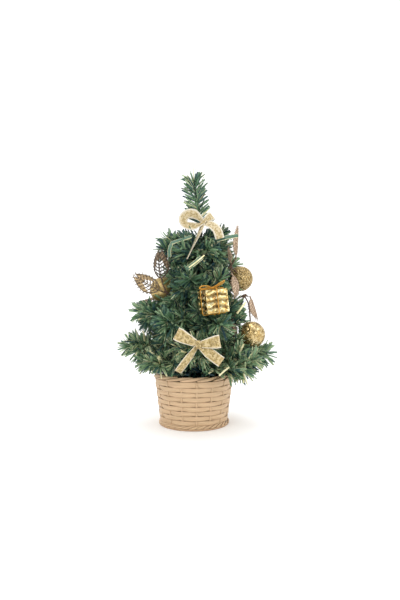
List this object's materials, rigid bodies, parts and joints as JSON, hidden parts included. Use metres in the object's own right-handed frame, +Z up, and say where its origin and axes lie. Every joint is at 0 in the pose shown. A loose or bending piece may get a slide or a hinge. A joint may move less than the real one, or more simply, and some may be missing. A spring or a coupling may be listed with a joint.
{
  "type": "artificial tabletop tree",
  "caption": "Tabletop tree with bendable bottle-brush branches on a wrapped trunk in a woven basket, dressed with balls, leaf picks, ribbon bows and a foil gift.",
  "frame": {"origin": "centre of the basket's flat underside, on the surface the tree stands on", "axes": "+Z up along the basket's axis towards the tree's tip, -Y towards the side that carries the bows and the gift, +X to that side's right"},
  "size_m": [0.1799, 0.16, 0.2977],
  "materials": {
    "chip_wood": "satin gold-washed chip wood",
    "plug": "dark green foam",
    "trunk_wrap": "dark green paper tape",
    "needles": "green film needles, some with yellow-gold edges",
    "glitter_ball": "gold glitter",
    "mirror_ball": "bright gold flake",
    "skeleton_leaf": "bronze glitter lattice",
    "pick_wire": "brown paper-wrapped wire",
    "gift_foil": "creased gold foil over a block",
    "gift_string": "orange-gold metallic thread",
    "ribbon": "gold glitter organza with satin edges"
  },
  "bodies": {
    "stand": {"basket_floor": "chip_wood", "basket_stakes": "chip_wood", "foot_braid": "chip_wood", "rim_braid": "chip_wood", "basket_weaver_1": "chip_wood", "basket_weaver_2": "chip_wood", "basket_weaver_3": "chip_wood", "basket_weaver_4": "chip_wood", "basket_weaver_5": "chip_wood", "basket_weaver_6": "chip_wood", "basket_weaver_7": "chip_wood", "basket_weaver_8": "chip_wood", "basket_weaver_9": "chip_wood", "base_plug": "plug", "trunk": "trunk_wrap", "left_pick_upper_leaf": "skeleton_leaf", "left_pick_middle_leaf": "skeleton_leaf", "left_pick_lower_leaf": "skeleton_leaf", "left_pick_wire": "pick_wire", "left_pick_ball": "glitter_ball", "right_pick_upper_leaf": "skeleton_leaf", "right_pick_small_leaf": "skeleton_leaf", "right_pick_lower_leaf": "skeleton_leaf", "right_pick_wire": "pick_wire", "right_pick_ball": "glitter_ball", "low_pick_outer_leaf": "skeleton_leaf", "low_pick_inner_leaf": "skeleton_leaf", "low_pick_wire": "pick_wire", "low_pick_ball": "mirror_ball", "top_bow_ribbon": "ribbon", "top_bow_knot": "ribbon"},
    "lower_branch_left": {"lower_branch_left": "needles"},
    "lower_branch_front_left": {"lower_branch_front_left": "needles"},
    "lower_branch_front": {"lower_branch_front": "needles", "lower_bow_ribbon": "ribbon", "lower_bow_knot": "ribbon"},
    "lower_branch_front_right": {"lower_branch_front_right": "needles"},
    "lower_branch_right": {"lower_branch_right": "needles"},
    "lower_branch_back_right": {"lower_branch_back_right": "needles"},
    "lower_branch_back_left": {"lower_branch_back_left": "needles"},
    "middle_branch_left": {"middle_branch_left": "needles"},
    "middle_branch_front_left": {"middle_branch_front_left": "needles"},
    "middle_branch_front_right": {"middle_branch_front_right": "needles", "gift_box": "gift_foil", "gift_string": "gift_string"},
    "middle_branch_right": {"middle_branch_right": "needles"},
    "middle_branch_back_right": {"middle_branch_back_right": "needles"},
    "middle_branch_back_left": {"middle_branch_back_left": "needles"},
    "upper_branch_left": {"upper_branch_left": "needles"},
    "upper_branch_front": {"upper_branch_front": "needles"},
    "upper_branch_front_right": {"upper_branch_front_right": "needles"},
    "upper_branch_right": {"upper_branch_right": "needles"},
    "upper_branch_back": {"upper_branch_back": "needles"},
    "upper_branch_back_left": {"upper_branch_back_left": "needles"},
    "crown_branch_left": {"crown_branch_left": "needles"},
    "crown_branch_front_left": {"crown_branch_front_left": "needles"},
    "crown_branch_front": {"crown_branch_front": "needles"},
    "crown_branch_right": {"crown_branch_right": "needles"},
    "crown_branch_back": {"crown_branch_back": "needles"},
    "top_tip": {"top_tip": "needles"}
  },
  "joints": [
    {"name": "lower_branch_left_bend", "type": "hinge", "parent": "stand", "child": "lower_branch_left", "pos_m": [-0.00282, -0.00022, 0.07469], "axis": [-0.0698, 0.9976, 0], "range_deg": [-20, 22]},
    {"name": "lower_branch_front_left_bend", "type": "hinge", "parent": "stand", "child": "lower_branch_front_left", "pos_m": [-0.00189, -0.00203, 0.07311], "axis": [-0.6691, 0.7431, 0], "range_deg": [-10, 30]},
    {"name": "lower_branch_front_bend", "type": "hinge", "parent": "stand", "child": "lower_branch_front", "pos_m": [0.00056, -0.00326, 0.07681], "axis": [-0.9994, -0.0349, 0], "range_deg": [-20, 14]},
    {"name": "lower_branch_front_right_bend", "type": "hinge", "parent": "stand", "child": "lower_branch_front_right", "pos_m": [0.00271, -0.00208, 0.07433], "axis": [-0.6691, -0.7431, 0], "range_deg": [-8, 18]},
    {"name": "lower_branch_right_bend", "type": "hinge", "parent": "stand", "child": "lower_branch_right", "pos_m": [0.00353, -0.00043, 0.07633], "axis": [-0.1392, -0.9903, 0], "range_deg": [-16, 3]},
    {"name": "lower_branch_back_right_bend", "type": "hinge", "parent": "stand", "child": "lower_branch_back_right", "pos_m": [0.00242, 0.00242, 0.07444], "axis": [0.766, -0.6428, 0], "range_deg": [-16, 26]},
    {"name": "lower_branch_back_left_bend", "type": "hinge", "parent": "stand", "child": "lower_branch_back_left", "pos_m": [-0.00103, 0.00281, 0.07444], "axis": [0.891, 0.454, 0], "range_deg": [-16, 26]},
    {"name": "middle_branch_left_bend", "type": "hinge", "parent": "stand", "child": "middle_branch_left", "pos_m": [-0.00177, 0.00012, 0.11109], "axis": [0.0349, 0.9994, 0], "range_deg": [-20, 10]},
    {"name": "middle_branch_front_left_bend", "type": "hinge", "parent": "stand", "child": "middle_branch_front_left", "pos_m": [-0.00021, -0.00263, 0.1105], "axis": [-0.829, 0.5592, 0], "range_deg": [-20, 30]},
    {"name": "middle_branch_front_right_bend", "type": "hinge", "parent": "stand", "child": "middle_branch_front_right", "pos_m": [0.00265, -0.00301, 0.10869], "axis": [-0.9336, -0.3584, 0], "range_deg": [-14, 12]},
    {"name": "middle_branch_right_bend", "type": "hinge", "parent": "stand", "child": "middle_branch_right", "pos_m": [0.00495, -0.0007, 0.11323], "axis": [-0.2079, -0.9781, 0], "range_deg": [-12, 5]},
    {"name": "middle_branch_back_right_bend", "type": "hinge", "parent": "stand", "child": "middle_branch_back_right", "pos_m": [0.0036, 0.0026, 0.11095], "axis": [0.788, -0.6157, 0], "range_deg": [-24, 34]},
    {"name": "middle_branch_back_left_bend", "type": "hinge", "parent": "stand", "child": "middle_branch_back_left", "pos_m": [0.00012, 0.00297, 0.11095], "axis": [0.8988, 0.4384, 0], "range_deg": [-24, 36]},
    {"name": "upper_branch_left_bend", "type": "hinge", "parent": "stand", "child": "upper_branch_left", "pos_m": [0.00018, -0.0017, 0.15244], "axis": [-0.4695, 0.8829, 0], "range_deg": [-3, 34]},
    {"name": "upper_branch_front_bend", "type": "hinge", "parent": "stand", "child": "upper_branch_front", "pos_m": [0.00267, -0.00341, 0.14962], "axis": [-0.9848, 0.1736, 0], "range_deg": [-24, 22]},
    {"name": "upper_branch_front_right_bend", "type": "hinge", "parent": "stand", "child": "upper_branch_front_right", "pos_m": [0.00571, -0.00253, 0.14987], "axis": [-0.7193, -0.6947, 0], "range_deg": [-24, 30]},
    {"name": "upper_branch_right_bend", "type": "hinge", "parent": "stand", "child": "upper_branch_right", "pos_m": [0.00703, 0.00147, 0.15944], "axis": [0.4067, -0.9135, 0], "range_deg": [-2, 30]},
    {"name": "upper_branch_back_bend", "type": "hinge", "parent": "stand", "child": "upper_branch_back", "pos_m": [0.00363, 0.00345, 0.14962], "axis": [0.9945, -0.1045, 0], "range_deg": [-24, 32]},
    {"name": "upper_branch_back_left_bend", "type": "hinge", "parent": "stand", "child": "upper_branch_back_left", "pos_m": [0.00035, 0.00197, 0.14987], "axis": [0.5592, 0.829, 0], "range_deg": [-24, 36]},
    {"name": "crown_branch_left_bend", "type": "hinge", "parent": "stand", "child": "crown_branch_left", "pos_m": [0.00177, 0.00057, 0.18987], "axis": [0.1564, 0.9877, 0], "range_deg": [-30, 36]},
    {"name": "crown_branch_front_left_bend", "type": "hinge", "parent": "stand", "child": "crown_branch_front_left", "pos_m": [0.00334, -0.00289, 0.1867], "axis": [-0.829, 0.5592, 0], "range_deg": [-5, 36]},
    {"name": "crown_branch_front_bend", "type": "hinge", "parent": "stand", "child": "crown_branch_front", "pos_m": [0.00672, -0.00326, 0.18887], "axis": [-0.9272, -0.3746, 0], "range_deg": [-30, 36]},
    {"name": "crown_branch_right_bend", "type": "hinge", "parent": "stand", "child": "crown_branch_right", "pos_m": [0.00879, -0.00101, 0.18765], "axis": [-0.2756, -0.9613, 0], "range_deg": [-7, 24]},
    {"name": "crown_branch_back_bend", "type": "hinge", "parent": "stand", "child": "crown_branch_back", "pos_m": [0.00591, 0.00358, 0.18754], "axis": [0.9848, -0.1736, 0], "range_deg": [-30, 36]},
    {"name": "top_tip_bend", "type": "hinge", "parent": "stand", "child": "top_tip", "pos_m": [0.00758, 0, 0.23097], "axis": [0, 1, 0], "range_deg": [-20, 20]}
  ]
}
